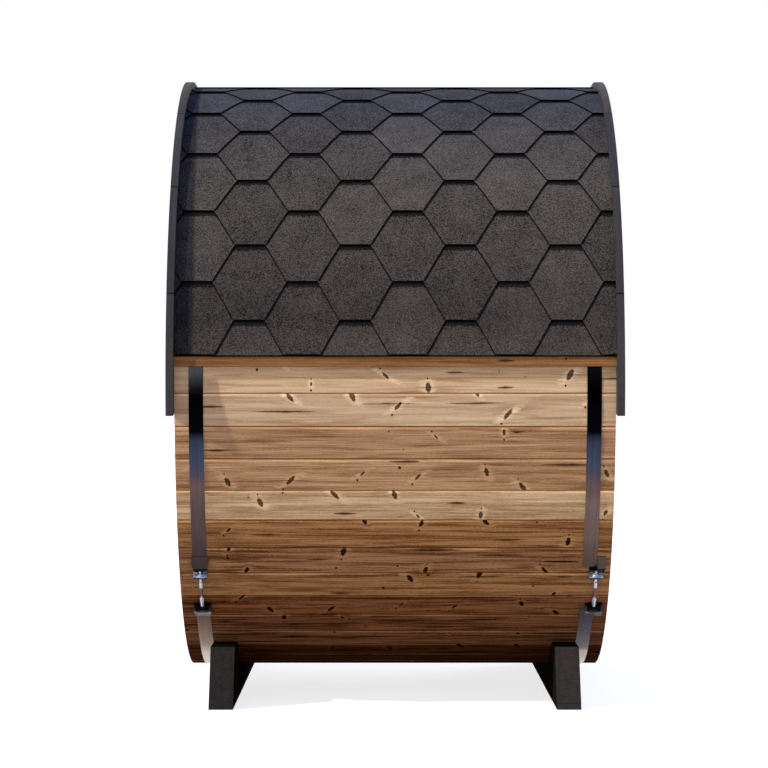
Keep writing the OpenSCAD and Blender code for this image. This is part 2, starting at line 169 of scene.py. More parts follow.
floor = bpy.data.objects.new("floor", floor_mesh)
scene.collection.objects.link(floor)


# The two cradles: thick planks on edge, sawn to a round seat for the barrel and stained black.
# They stand on the ground, with their grain running across under the barrel. A painted shade darkens
# their sides and tops to near black and leaves the ends, which face out, lighter; the rear cradle
# is coloured darker than the front one.
def open_group(name, inputs, outputs):
    """A shader node group with named inputs and their usual values, and named value outputs."""
    tree = bpy.data.node_groups.new(name, "ShaderNodeTree")
    for label, usual in inputs.items():
        socket = tree.interface.new_socket(label, in_out="INPUT", socket_type="NodeSocketFloat")
        socket.default_value = usual
    for label in outputs:
        tree.interface.new_socket(label, in_out="OUTPUT", socket_type="NodeSocketFloat")
    return tree, tree.nodes.new("NodeGroupInput").outputs


def marks(tree, along, board, length, salt):
    """The nearest of a row of marks along a board: the distance from it in metres, and its four draws."""
    at = sums(tree, "MULTIPLY_ADD", board, 3.17, salt)
    at = sums(tree, "ADD", sums(tree, "DIVIDE", along, length), at)
    near = add(tree, "ShaderNodeTexVoronoi", {"W": at, "Scale": 1.0, "Randomness": 0.8},
               voronoi_dimensions="1D").outputs
    draws = add(tree, "ShaderNodeSeparateColor", {0: near["Color"]}).outputs
    stirred = sums(tree, "MULTIPLY_ADD", draws[0], 17.3, sums(tree, "MULTIPLY", draws[1], 29.7))
    fourth = sums(tree, "FRACT", stirred)
    return sums(tree, "MULTIPLY", sums(tree, "SUBTRACT", at, near["W"]), length), (fourth, *draws[:3])


def sized(tree, draw, least, more):
    """A measure that follows a draw from 0 to 1, from the least to that much more."""
    return sums(tree, "MULTIPLY_ADD", draw, more, least)


def oval(tree, along, across, half_along, half_across):
    """Distance from a mark's middle, 1 at the rim of an oval."""
    long = sums(tree, "POWER", sums(tree, "DIVIDE", along, half_along), 2.0)
    wide = sums(tree, "POWER", sums(tree, "DIVIDE", across, half_across), 2.0)
    return sums(tree, "SQRT", sums(tree, "ADD", long, wide))


def grain_noise(tree, place, fineness, detail):
    """Noise at a place of three values, drawn out along the grain by its fineness each way."""
    drawn = [sums(tree, "MULTIPLY", value, factor) for value, factor in zip(place, fineness)]
    at = add(tree, "ShaderNodeCombineXYZ", dict(enumerate(drawn))).outputs[0]
    feeds = {"Vector": at, "Scale": 1.0, "Detail": detail, "Roughness": 0.6}
    return add(tree, "ShaderNodeTexNoise", feeds).outputs[0]


figure, given = open_group(
    "timber_figure",
    {"Along": 0.0, "Across": 0.0, "Depth": 0.0, "Board": 0.0, "Knots": 0.5},
    ("Streak", "Stain", "Knot", "Core", "Halo", "Check", "Cast"))
tree = figure
board = given["Board"]
# Each board starts at its own place in the grain.
draw = add(tree, "ShaderNodeTexWhiteNoise", {"W": sums(tree, "MULTIPLY_ADD", board, 1.37, 0.53)},
           noise_dimensions="1D")
draws = add(tree, "ShaderNodeSeparateColor", {0: draw.outputs["Color"]}).outputs
start_reach = 40.0
depth_fineness = 60.0
boards_apart = 5.3
along = sums(tree, "MULTIPLY_ADD", draws[0], start_reach, given["Along"])
across = given["Across"]
third = sums(tree, "MULTIPLY", board, boards_apart)
third = sums(tree, "MULTIPLY_ADD", given["Depth"], depth_fineness, third)
wander = grain_noise(tree, (along, across, third), (70.0, 160.0, 1.0), 3.0)
uneven = sized(tree, wander, least=-0.55, more=1.1)

# Spike knots, some with an eye or a dot beside them, and the grain that bends round them.
spike_step = 0.185
spike_room = 0.096
spike_along, (chance, place, lean, size) = marks(tree, along, board, spike_step, salt=4.1)
there = sums(tree, "LESS_THAN", chance, given["Knots"])
spike_middle = sized(tree, place, least=-spike_room / 2, more=spike_room)
spike_across = sums(tree, "SUBTRACT", across, spike_middle)
slope = sized(tree, lean, least=-0.8, more=1.6)
leaning = sums(tree, "SUBTRACT", spike_along, sums(tree, "MULTIPLY", slope, spike_across))
spike = oval(tree, leaning, spike_across, sized(tree, size, least=0.0036, more=0.0050),
             sized(tree, size, least=0.0060, more=0.0100))
spike_knot = spread(tree, sums(tree, "ADD", spike, uneven), 1.25, 0.80)
eye_half = (0.0030, 0.0034)
eye_above = 0.40
beside = sized(tree, size, least=0.019, more=0.014)
eye = oval(tree, sums(tree, "MULTIPLY_ADD", slope, beside, spike_along),
           sums(tree, "ADD", spike_across, beside), *eye_half)
eye_knot = sums(tree, "MULTIPLY", spread(tree, sums(tree, "ADD", eye, uneven), 1.3, 0.8),
                sums(tree, "GREATER_THAN", lean, eye_above))
dot_half = (0.0022, 0.0030)
dot_below = 0.62
dot_share = -0.85
far = sums(tree, "MULTIPLY", beside, dot_share)
dot = oval(tree, sums(tree, "MULTIPLY_ADD", slope, far, spike_along),
           sums(tree, "ADD", spike_across, far), *dot_half)
dot_knot = sums(tree, "MULTIPLY", spread(tree, sums(tree, "ADD", dot, uneven), 1.3, 0.8),
                sums(tree, "LESS_THAN", lean, dot_below))
knot = sums(tree, "MAXIMUM", sums(tree, "MAXIMUM", spike_knot, eye_knot), dot_knot)
knot = sums(tree, "MULTIPLY", there, knot)
swept = sums(tree, "SUBTRACT", leaning, sums(tree, "MULTIPLY", slope, spike_across))
wing = oval(tree, swept, spike_across, sized(tree, size, least=0.012, more=0.014),
            sized(tree, size, least=0.020, more=0.016))
halo = sums(tree, "MULTIPLY", there, spread(tree, sums(tree, "ADD", wing, uneven), 1.35, 0.25))
bend_share = 0.45
bend = sums(tree, "MULTIPLY", sums(tree, "MULTIPLY", spike_across, halo), bend_share)
bent = sums(tree, "SUBTRACT", across, bend)
sway = grain_noise(tree, (along, across, third), (0.9, 9.0, 1.0), 2.0)
broad = grain_noise(tree, (along, bent, third), (2.4, 62.0, 1.0), 5.0)
fine = grain_noise(tree, (along, bent, third), (5.0, 240.0, 1.0), 3.0)
pores = grain_noise(tree, (along, bent, third), (110.0, 450.0, 1.0), 2.0)

# A crack that trails along the grain from some of the spike knots.
least_width = 0.0004
trail_reach = sized(tree, lean, least=0.012, more=0.075)
trail = sums(tree, "DIVIDE", sums(tree, "ABSOLUTE", spike_along), trail_reach)
trail = sums(tree, "SUBTRACT", 1.0, trail, clamp=True)
trail_off = sums(tree, "ABSOLUTE", sums(tree, "MULTIPLY_ADD", uneven, 0.0022, spike_across))
trail_widest = 0.0030
trail_width = sums(tree, "MAXIMUM", sums(tree, "MULTIPLY", trail, trail_widest), least_width)
trail = sums(tree, "MULTIPLY", spread(tree, trail_off, trail_width, 0.0), spread(tree, trail, 0.0, 0.3))
trail_depth = spread(tree, size, 0.45, 0.65, 0.0, 0.7)
trail = sums(tree, "MULTIPLY", sums(tree, "MULTIPLY", there, trail), trail_depth)

# Pin knots, small and round.
pin_step = 0.092
mark_room = 0.088
pin_along, (chance, place, lean, size) = marks(tree, along, board, pin_step, salt=7.7)
pin_middle = sized(tree, place, least=-mark_room / 2, more=mark_room)
pin_across = sums(tree, "SUBTRACT", across, pin_middle)
pin = oval(tree, pin_along, pin_across, sized(tree, size, least=0.0020, more=0.0026),
           sized(tree, size, least=0.0020, more=0.0030))
pin_share = 0.40
few = sums(tree, "LESS_THAN", chance, sums(tree, "MULTIPLY", given["Knots"], pin_share))
pin_knot = sums(tree, "MULTIPLY", few, spread(tree, sums(tree, "ADD", pin, uneven), 1.3, 0.75))

# Drying checks, ragged and drawn out to a point both ways, in a streak of rust-brown stain.
check_step = 0.26
check_share = 0.36
check_along, (chance, place, lean, size) = marks(tree, along, board, check_step, salt=2.3)
check_middle = sized(tree, place, least=-mark_room / 2, more=mark_room)
check_across = sums(tree, "SUBTRACT", across, check_middle)
check_reach = sized(tree, size, least=0.020, more=0.100)
taper = sums(tree, "DIVIDE", sums(tree, "ABSOLUTE", check_along), check_reach)
taper = sums(tree, "SUBTRACT", 1.0, taper, clamp=True)
ragged = sized(tree, fine, least=-0.0040, more=0.0080)
waver = sums(tree, "MULTIPLY_ADD", uneven, 0.0035, sums(tree, "ADD", check_across, ragged))
waver = sums(tree, "ABSOLUTE", waver)
widest = sized(tree, lean, least=0.0018, more=0.0040)
check_width = sums(tree, "MAXIMUM", sums(tree, "MULTIPLY", taper, widest), least_width)
sharp = sums(tree, "MULTIPLY", check_width, 0.4)
check = sums(tree, "MULTIPLY", spread(tree, waver, check_width, sharp), spread(tree, taper, 0.0, 0.3))
split = sums(tree, "LESS_THAN", chance, check_share)
check = sums(tree, "MULTIPLY", check, split)
rust_width = sized(tree, taper, least=least_width, more=0.010)
rust = sums(tree, "MULTIPLY", spread(tree, waver, rust_width, 0.0),
            sums(tree, "MULTIPLY", spread(tree, taper, 0.0, 0.5), split))

# Growth rings, and the streaks of the grain from broad to fine.
rings_each_metre = 105.0
rings = sums(tree, "MULTIPLY_ADD", bent, rings_each_metre, sums(tree, "MULTIPLY", sway, 9.0))
ring = sums(tree, "FRACT", sums(tree, "MULTIPLY_ADD", broad, 2.4, rings))
latewood = sums(tree, "MULTIPLY", spread(tree, ring, 0.30, 0.90), spread(tree, ring, 1.0, 0.92))
streak = sums(tree, "MULTIPLY", spread(tree, broad, 0.36, 0.64, smooth=False), 0.42)
streak = sums(tree, "MULTIPLY_ADD", spread(tree, fine, 0.34, 0.66, smooth=False), 0.34, streak)
streak = sums(tree, "MULTIPLY_ADD", spread(tree, pores, 0.34, 0.66, smooth=False), 0.20, streak)
streak = sums(tree, "MULTIPLY_ADD", sums(tree, "SUBTRACT", 1.0, latewood), 0.12, streak)
stain = grain_noise(tree, (along, bent, third), (4.0, 60.0, 1.0), 6.0)
solid = spread(tree, fine, 0.62, 0.40, 0.96, 1.0)
middle = spread(tree, sums(tree, "ADD", spike, uneven), 0.85, 0.30, 0.0, 0.9)
add(tree, "NodeGroupOutput", {
    "Streak": sums(tree, "ADD", streak, 0.0, clamp=True),
    "Stain": sums(tree, "MAXIMUM", spread(tree, stain, 0.51, 0.69), rust),
    "Knot": sums(tree, "MULTIPLY", sums(tree, "MAXIMUM", knot, pin_knot), solid),
    "Core": sums(tree, "MULTIPLY", there, middle),
    "Halo": sums(tree, "MULTIPLY", halo, spread(tree, fine, 0.36, 0.60, 0.45, 1.0)),
    "Check": sums(tree, "MAXIMUM", check, trail),
    "Cast": draws[2],
})


def open_finish(name):
    """A new material with its Principled shader, ready for its own nodes."""
    paint = bpy.data.materials.new(name)
    paint.use_nodes = True
    tree = paint.node_tree
    tree.nodes.clear()
    shader = add(tree, "ShaderNodeBsdfPrincipled")
    add(tree, "ShaderNodeOutputMaterial", {"Surface": shader.outputs[0]})
    return paint, tree, shader


def mixed(tree, share, first, second, way="MIX"):
    """Two colours mixed, or one laid on the other."""
    made = add(tree, "ShaderNodeMix", {0: share, 6: first, 7: second}, data_type="RGBA", blend_type=way)
    return made.outputs[2]


def here(tree):
    """The place on the piece, in metres, as three values."""
    spot = add(tree, "ShaderNodeTexCoord").outputs["Object"]
    return add(tree, "ShaderNodeSeparateXYZ", {0: spot}).outputs


def grey(tree, value):
    """A value as a colour."""
    return add(tree, "ShaderNodeCombineColor", {0: value, 1: value, 2: value}).outputs[0]


def timber(tree, shader, place, dark, light, heart, knots, casts, gloss, relief, shine=0.3, contrast=1.0):
    """Sawn timber: grain from dark to light, knots, open checks, and a cast of its own for each board."""
    figured = add(tree, "ShaderNodeGroup", node_tree=figure)
    figured.inputs["Knots"].default_value = knots
    for label, feed in zip(("Along", "Across", "Depth", "Board"), place):
        tree.links.new(feed, figured.inputs[label])
    out = figured.outputs
    streak = sums(tree, "SUBTRACT", out["Streak"], 0.5)
    wood = mixed(tree, sums(tree, "MULTIPLY_ADD", streak, contrast, 0.5, clamp=True), dark, light)
    low, high = casts
    cast = spread(tree, out["Cast"], 0.0, 1.0, low, high, smooth=False)
    wood = mixed(tree, 1.0, wood, grey(tree, cast), "MULTIPLY")
    stained = sized(tree, contrast, least=0.36, more=0.22)
    stain = sums(tree, "MULTIPLY", out["Stain"], stained, clamp=True)
    wood = mixed(tree, stain, wood, dark)
    halo_gain = 1.06
    halo_share = 0.80
    pale = [min(1.0, halo_gain * channel) for channel in light]
    wood = mixed(tree, sums(tree, "MULTIPLY", out["Halo"], halo_share), wood, pale)
    core = [(first + second) / 2 for first, second in zip(heart, dark)]
    mild = 1.2
    strong = 1.9
    live = sums(tree, "MULTIPLY", out["Core"], spread(tree, contrast, mild, strong, 1.0, 0.2))
    closed = sums(tree, "MULTIPLY", out["Knot"], spread(tree, contrast, mild, strong, 0.96, 1.0))
    wood = mixed(tree, closed, wood, mixed(tree, live, heart, core))
    check_depth = 0.84
    wood = mixed(tree, sums(tree, "MULTIPLY", out["Check"], check_depth), wood, heart)
    rise = sums(tree, "SUBTRACT", sums(tree, "MULTIPLY", out["Streak"], 0.5), out["Check"])
    bump = add(tree, "ShaderNodeBump", {"Strength": 0.35, "Distance": relief, "Height": rise})
    tree.links.new(bump.outputs[0], shader.inputs["Normal"])
    rough = spread(tree, out["Streak"], 0.0, 1.0, gloss + 0.08, gloss - 0.06)
    tree.links.new(rough, shader.inputs["Roughness"])
    shader.inputs["Specular IOR Level"].default_value = shine
    return wood


def dress(finish, *names):
    """Gives CAD pieces their finish."""
    for name in names:
        for slot in node[name].material_slots:
            slot.material = finish


painted_side_shade = (0.30, 0.30, 0.30, 1)
rear_coat = (0.72, 0.72, 0.72, 1)
front_coat = (1.12, 1.12, 1.12, 1)
black_stain, tree, shader = open_finish("black_stained_timber")
at = here(tree)
side = sums(tree, "GREATER_THAN", at[0], 0.0)
wood = timber(tree, shader, (at[1], at[2], at[0], side), dark=tint(40, 38, 36), light=tint(58, 54, 51),
              heart=tint(16, 15, 15), knots=0.30, casts=(0.92, 1.08), gloss=0.66, relief=0.0006, shine=0.0)
normal = add(tree, "ShaderNodeNewGeometry").outputs["True Normal"]
facing = add(tree, "ShaderNodeSeparateXYZ", {0: normal}).outputs
# Painted shade: every face but the ends is darkened to three tenths.
end_faces = spread(tree, sums(tree, "ABSOLUTE", facing[1]), 0.3, 0.6)
wood = mixed(tree, end_faces, mixed(tree, 1.0, wood, painted_side_shade, "MULTIPLY"), wood)
wood = mixed(tree, 1.0, wood, mixed(tree, side, rear_coat, front_coat), "MULTIPLY")
tree.links.new(wood, shader.inputs["Base Color"])
dress(black_stain, "rear_cradle", "front_cradle")


# The barrel: 59 tongued staves of heat-treated pine, laid side by side round the end walls.
# Each stave is its own length of timber, with its own colour, grain, knots and checks.
axis_height = 1.026
staves = 59
stave_radius = 0.95
stave_joint = math.radians(-2.5)
round_place, given = open_group(
    "place_on_round",
    {"Pitch": math.tau / staves, "First joint": 0.0, "Count": float(staves), "Radius": stave_radius},
    ("Along", "Across", "Depth", "Board"))
at = here(round_place)
up = sums(round_place, "SUBTRACT", at[2], axis_height)
turn = sums(round_place, "ARCTAN2", up, sums(round_place, "MULTIPLY", at[1], -1.0))
from_joint = sums(round_place, "SUBTRACT", turn, given["First joint"])
steps = sums(round_place, "DIVIDE", from_joint, given["Pitch"])
whole = sums(round_place, "FLOOR", steps)
part = sums(round_place, "SUBTRACT", sums(round_place, "SUBTRACT", steps, whole), 0.5)
width = sums(round_place, "MULTIPLY", given["Pitch"], given["Radius"])
arc = sums(round_place, "MULTIPLY", part, width)
squares = [sums(round_place, "POWER", value, 2.0) for value in (up, at[1])]
reach = sums(round_place, "SQRT", sums(round_place, "ADD", *squares))
add(round_place, "NodeGroupOutput", {
    "Along": at[0],
    "Across": arc,
    "Depth": sums(round_place, "SUBTRACT", reach, given["Radius"]),
    "Board": sums(round_place, "FLOORED_MODULO", whole, given["Count"]),
})


def placed_round(tree, pitch, first_joint, count, radius):
    """Where a point lies on one of the boards that run round the barrel."""
    made = add(tree, "ShaderNodeGroup", node_tree=round_place)
    values = {"Pitch": pitch, "First joint": first_joint, "Count": count, "Radius": radius}
    for label, value in values.items():
        made.inputs[label].default_value = value
    return [made.outputs[label] for label in ("Along", "Across", "Depth", "Board")]


def jointed(tree, wood, across, half, gap, dirt, depth):
    """Boards with a dark line of dirt where they meet."""
    edge = sums(tree, "SUBTRACT", half, sums(tree, "ABSOLUTE", across))
    return mixed(tree, spread(tree, edge, gap, gap * 0.45, 0.0, depth), wood, dirt)


heat_pine, tree, shader = open_finish("heat_treated_pine")
stave_pitch = math.tau / staves
stave_half = stave_pitch * stave_radius / 2
place = placed_round(tree, stave_pitch, stave_joint, staves, stave_radius)
below_left = sums(tree, "SUBTRACT", staves - 1.0, place[3])
first_right_stave = 30.0
below_right = sums(tree, "SUBTRACT", place[3], first_right_stave)
below_eave = sums(tree, "MINIMUM", below_left, below_right)
# Stave by stave from the eave down: how brown it is, with a painted shade that darkens the lower staves, how
# strong its figure, how warm its brown.
browning_and_shade = (-0.05, 0.30, 0.26, -0.07, 0.47, 0.54, 0.47, 1.03, 1.18, 1.04, 1.72, 1.5, 1.2, 1.0, 1.0)
figuring = (0.55, 1.15, 1.05, 1.05, 1.9, 2.1, 1.9, 2.8, 3.2, 2.8, 2.4, 2.2, 1.4, 1.2, 1.2)
warming = (3.6, 1.7, 1.8, 1.1, 2.4, 2.0, 2.4, 1.85, 1.65, 1.7, 1.7, 1.75, 1.8, 1.8, 1.9)
most_figure = max(figuring)
least_green = 0.95
green_share = 0.28
bake_and_shade_stops = []
for count, (share, depth, blue) in enumerate(zip(browning_and_shade, figuring, warming)):
    green = least_green + green_share * blue
    colour = [math.exp(-loss * share) for loss in (1.0, green, blue)]
    bake_and_shade_stops.append((count / len(browning_and_shade), (*colour, depth / most_figure)))
down = sums(tree, "DIVIDE", sums(tree, "ADD", below_eave, 0.5), len(browning_and_shade))
baked_and_shaded = ramp(tree, down, bake_and_shade_stops, "CONSTANT")
depth = sums(tree, "MULTIPLY", baked_and_shaded["Alpha"], most_figure)
wood = timber(tree, shader, place, dark=tint(134, 89, 46), light=tint(238, 205, 158), heart=tint(40, 18, 10),
              knots=0.62, casts=(0.94, 1.05), gloss=0.62, relief=0.0009, shine=0.0, contrast=depth)
# Each stave's browning, with the painted shade of the lower staves, darkens the wood.
browned_and_shaded = mixed(tree, 1.0, wood, baked_and_shaded["Color"], "MULTIPLY")
# The upper arris of each stave carries a painted highlight, drawn a little toward the unbrowned wood.
arris_start = 0.0105
arris_full = 0.0065
highlight_share = 0.16
highlight_tone = (1.58, 1.50, 1.42, 1)
flank = sums(tree, "SIGN", sums(tree, "MULTIPLY", here(tree)[1], -1.0))
rim = sums(tree, "MULTIPLY", place[1], flank)
arris_highlight = spread(tree, rim, stave_half - arris_start, stave_half - arris_full)
painted_highlight = mixed(tree, highlight_share, mixed(tree, 1.0, browned_and_shaded, highlight_tone, "MULTIPLY"), wood)
wood = mixed(tree, arris_highlight, browned_and_shaded, painted_highlight)
dirt = mixed(tree, 1.0, tint(104, 66, 38), baked_and_shaded["Color"], "MULTIPLY")
dirt = mixed(tree, 1.0, dirt, baked_and_shaded["Color"], "MULTIPLY")
wood = jointed(tree, wood, place[1], stave_half, gap=0.0030, dirt=dirt, depth=0.70)
tree.links.new(wood, shader.inputs["Base Color"])
dress(heat_pine, "staves_left_upper", "staves_top", "staves_right_upper",
      "staves_right_lower", "staves_bottom", "staves_left_lower")


# The end walls and the door: upright boards of the same pine let into grooves in the staves.
# The door's frame, ledges and planks are a shade darker, and its leaf hangs in the front wall.
wall_board = 0.096
leaf_board = 0.097
middle_board = 40.5


def upright(tree, width, front_from, offset=0.0):
    """Where a point lies on one of a row of upright boards across the barrel."""
    at = here(tree)
    steps = sums(tree, "ADD", sums(tree, "DIVIDE", at[1], width), middle_board + offset)
    whole = sums(tree, "FLOOR", steps)
    part = sums(tree, "SUBTRACT", sums(tree, "SUBTRACT", steps, whole), 0.5)
    end = sums(tree, "MULTIPLY", sums(tree, "GREATER_THAN", at[0], 0.0), front_from)
    return [at[2], sums(tree, "MULTIPLY", part, width), at[0], sums(tree, "ADD", whole, end)]


wall_pine, tree, shader = open_finish("wall_pine")
place = upright(tree, wall_board, front_from=50.0)
wood = timber(tree, shader, place, dark=tint(98, 63, 34), light=tint(184, 146, 103), heart=tint(36, 18, 11),
              knots=0.55, casts=(0.84, 1.08), gloss=0.62, relief=0.0009, shine=0.02)
wood = jointed(tree, wood, place[1], wall_board / 2, gap=0.0036, dirt=tint(46, 28, 16), depth=0.85)
tree.links.new(wood, shader.inputs["Base Color"])
dress(wall_pine, "rear_wall", "front_wall_left", "front_wall_right",
      "front_wall_over_door", "front_wall_under_door")

leaf_pine, tree, shader = open_finish("door_pine")
place = upright(tree, leaf_board, front_from=90.0, offset=0.5)
wood = timber(tree, shader, place, dark=tint(88, 54, 29), light=tint(174, 131, 88), heart=tint(36, 18, 12),
              knots=0.45, casts=(0.86, 1.10), gloss=0.60, relief=0.0009, shine=0.02)
wood = jointed(tree, wood, place[1], leaf_board / 2, gap=0.0034, dirt=tint(34, 20, 12), depth=0.85)
tree.links.new(wood, shader.inputs["Base Color"])
dress(leaf_pine, "door_planks_outer")

jamb_pine, tree, shader = open_finish("door_frame_pine")
at = here(tree)
side = sums(tree, "GREATER_THAN", at[1], 0.0)
frame_looks = {
    "dark": tint(80, 49, 26), "light": tint(158, 115, 75), "heart": tint(36, 18, 12), "knots": 0.35,
    "casts": (0.92, 1.06), "gloss": 0.60, "relief": 0.0009, "shine": 0.02}
wood = timber(tree, shader, (at[2], at[1], at[0], side), **frame_looks)
tree.links.new(wood, shader.inputs["Base Color"])
dress(jamb_pine, "door_jambs")

level_pine, tree, shader = open_finish("door_cross_pine")
at = here(tree)
levels_each_metre = 4.0
storey = sums(tree, "FLOOR", sums(tree, "MULTIPLY", at[2], levels_each_metre))
wood = timber(tree, shader, (at[1], at[2], at[0], storey), **frame_looks)
tree.links.new(wood, shader.inputs["Base Color"])
dress(level_pine, "door_head", "door_sill", "door_ledges")


# The bands: rolled steel strip round the barrel near each end, coloured by height with a painted
# reflection of the surroundings: brown low down, blue higher up and black under the eave.
# Each is drawn tight low on the left flank by a rod and a long nut between two folded lugs.
# Rods, nuts and saddles are bright plated steel, as are the door's hinges and handle; the pins are
# painted black, as the shade inside the lower lugs.
band_steel, tree, shader = open_finish("band_steel")
at = here(tree)
rolled = grain_noise(tree, at, (420.0, 5.0, 5.0), 2.0)
clouds = grain_noise(tree, at, (9.0, 5.0, 5.0), 3.0)
level = sums(tree, "ADD", at[2], sized(tree, clouds, least=-0.01, more=0.02))
# The painted reflection at each height, from the ground to where the roof covers the band.
band_top = 1.08
band_reflection_tones = (
    (0.00, (184, 174, 162)), (0.145, (168, 150, 130)), (0.172, (110, 90, 71)), (0.24, (94, 73, 54)),
    (0.285, (77, 60, 47)), (0.31, (40, 31, 26)), (0.44, (54, 45, 39)), (0.47, (57, 47, 41)),
    (0.515, (66, 53, 47)), (0.55, (74, 60, 53)), (0.62, (76, 62, 55)), (0.70, (87, 71, 62)),
    (0.735, (64, 61, 66)), (0.77, (54, 60, 71)), (0.838, (43, 49, 60)), (0.866, (4, 4, 6)),
    (0.975, (2, 2, 4)), (0.995, (17, 17, 20)), (1.02, (42, 42, 44)), (1.045, (66, 66, 68)),
    (band_top, (70, 73, 79)))
painted_reflection_stops = [(rise / band_top, tint(*colour)) for rise, colour in band_reflection_tones]
painted_reflection = ramp(tree, sums(tree, "DIVIDE", level, band_top), painted_reflection_stops)["Color"]
shade = spread(tree, rolled, 0.25, 0.75, 0.80, 1.20)
painted_reflection_colour = mixed(tree, 1.0, painted_reflection, grey(tree, shade), "MULTIPLY")
# The front band's painted reflection is duller below its upper lug and brighter above it, and a painted
# shade turns it black under the eave.
front = sums(tree, "GREATER_THAN", at[0], 0.0)
painted_dull = sums(tree, "MULTIPLY", spread(tree, at[2], 0.42, 0.36), spread(tree, at[2], 0.145, 0.165))
painted_dull = sums(tree, "MULTIPLY", painted_dull, front)
painted_dull_share = 0.85
painted_reflection_colour = mixed(tree, sums(tree, "MULTIPLY", painted_dull, painted_dull_share), painted_reflection_colour, tint(50, 45, 51))
eave_shade = sums(tree, "MULTIPLY", spread(tree, at[2], 0.95, 0.97), front)
eave_shade_share = 0.95
painted_reflection_colour = mixed(tree, sums(tree, "MULTIPLY", eave_shade, eave_shade_share), painted_reflection_colour, tint(1, 1, 2))
painted_highlight = sums(tree, "MULTIPLY", spread(tree, at[2], 0.42, 0.44), spread(tree, at[2], 0.69, 0.64))
painted_highlight = sums(tree, "MULTIPLY", painted_highlight, front)
bright = (1.55, 1.55, 1.50, 1)
painted_reflection_colour = mixed(tree, painted_highlight, painted_reflection_colour, mixed(tree, 1.0, painted_reflection_colour, bright, "MULTIPLY"))
tree.links.new(painted_reflection_colour, shader.inputs["Base Color"])
shader.inputs["Metallic"].default_value = 1.0
tree.links.new(spread(tree, clouds, 0.3, 0.7, 0.22, 0.34), shader.inputs["Roughness"])
dress(band_steel, "rear_band", "rear_band_lugs", "front_band", "front_band_lugs")

zinc, tree, shader = open_finish("zinc_plated_steel")
at = here(tree)
spot = add(tree, "ShaderNodeTexCoord").outputs["Object"]
spangle = add(tree, "ShaderNodeTexVoronoi", {"Vector": spot, "Scale": 260.0}).outputs["Color"]
spangle = add(tree, "ShaderNodeSeparateColor", {0: spangle}).outputs[0]
dulled = grain_noise(tree, at, (40.0, 40.0, 40.0), 4.0)
plate = mixed(tree, spangle, tint(158, 162, 170), tint(186, 190, 197))
plate = mixed(tree, spread(tree, dulled, 0.50, 0.75), plate, tint(120, 130, 150))
tree.links.new(plate, shader.inputs["Base Color"])
shader.inputs["Metallic"].default_value = 1.0
tree.links.new(spread(tree, dulled, 0.3, 0.7, 0.20, 0.38), shader.inputs["Roughness"])
dress(zinc, "rear_band_nut", "front_band_nut", "door_handle", "door_hinges")

# Between its long nut and its plain shank the rod shows its thread, dark with oil.
thread_pitch = 0.0035
nut_top = 0.349
shank_foot = 0.378
thread, tree, shader = open_finish("rod_steel")
at = here(tree)
ridge = sums(tree, "SINE", sums(tree, "MULTIPLY", at[2], math.tau / thread_pitch))
below = sums(tree, "LESS_THAN", at[2], nut_top)
plain = sums(tree, "MAXIMUM", below, sums(tree, "GREATER_THAN", at[2], shank_foot))
oiled = mixed(tree, spread(tree, ridge, -1.0, 1.0), tint(70, 56, 50), tint(142, 126, 118))
tree.links.new(mixed(tree, plain, oiled, tint(184, 186, 190)), shader.inputs["Base Color"])
cut_thread = sums(tree, "MULTIPLY", ridge, sums(tree, "SUBTRACT", 1.0, plain))
turned = add(tree, "ShaderNodeBump", {"Strength": 0.6, "Distance": 0.0008, "Height": cut_thread})
tree.links.new(turned.outputs[0], shader.inputs["Normal"])
shader.inputs["Metallic"].default_value = 1.0
shader.inputs["Roughness"].default_value = 0.32
dress(thread, "rear_band_rod", "front_band_rod")

# The saddle sits in the upper lug and the pin in the lower one, where a painted shade turns it black.
saddle_steel, tree, shader = open_finish("saddle_steel")
at = here(tree)
pin_height = 0.36
saddle_height = 0.40
dulled = grain_noise(tree, at, (60.0, 60.0, 90.0), 4.0)
plate = mixed(tree, spread(tree, dulled, 0.40, 0.60), tint(70, 84, 114), tint(180, 192, 214))
# Below the saddle a painted shade turns the pin near black.
plate = mixed(tree, spread(tree, at[2], saddle_height, pin_height), plate, tint(10, 9, 9))
tree.links.new(plate, shader.inputs["Base Color"])
tree.links.new(spread(tree, at[2], pin_height, saddle_height, 1.0, 0.35), shader.inputs["Metallic"])
tree.links.new(spread(tree, dulled, 0.3, 0.7, 0.22, 0.36), shader.inputs["Roughness"])
dress(saddle_steel, "rear_band_pins", "front_band_pins")


# The roof boards: thin planed boards laid lengthwise over the upper half of the barrel.
# Only the edge of the lowest one shows, as a warm strip under the eave.
roof_board = math.radians(5.84)
roof_start = math.radians(2.4)
roof_radius = 0.9617
past_last_board = 99.0
eave_pine, tree, shader = open_finish("eave_pine")
place = placed_round(tree, roof_board, roof_start, past_last_board, roof_radius)
wood = timber(tree, shader, place, dark=tint(86, 51, 24), light=tint(159, 113, 66), heart=tint(34, 20, 12),
              knots=0.30, casts=(0.92, 1.08), gloss=0.56, relief=0.0006, shine=0.05)
tree.links.new(wood, shader.inputs["Base Color"])
dress(eave_pine, "roof_boards_left", "roof_boards_top", "roof_boards_right")


# The shingles: bitumen felt strips faced with mineral granules and cut to six-sided tabs.
# Each strip lies over the two below it, half a tab aside, over a plain strip along the eave,
# and a narrow strip of the same felt is bedded over the line where the two slopes meet.
sheet = 0.0032
sheet_gap = 0.00012
courses = 12
tabs_across = 7
tab_pitch = 0.320
butt = 0.093
strip_radius = 0.9724
eave_turn = math.radians(4.106)
tabs_turn = math.radians(3.53)
eave_trim = math.radians(4.50)
course_turn = math.radians(7.115)
exposure = course_turn * strip_radius
tab_shift = 0.038
head_lap = 0.006
roof_end = 0.6684
last_butts = math.radians(87.0)


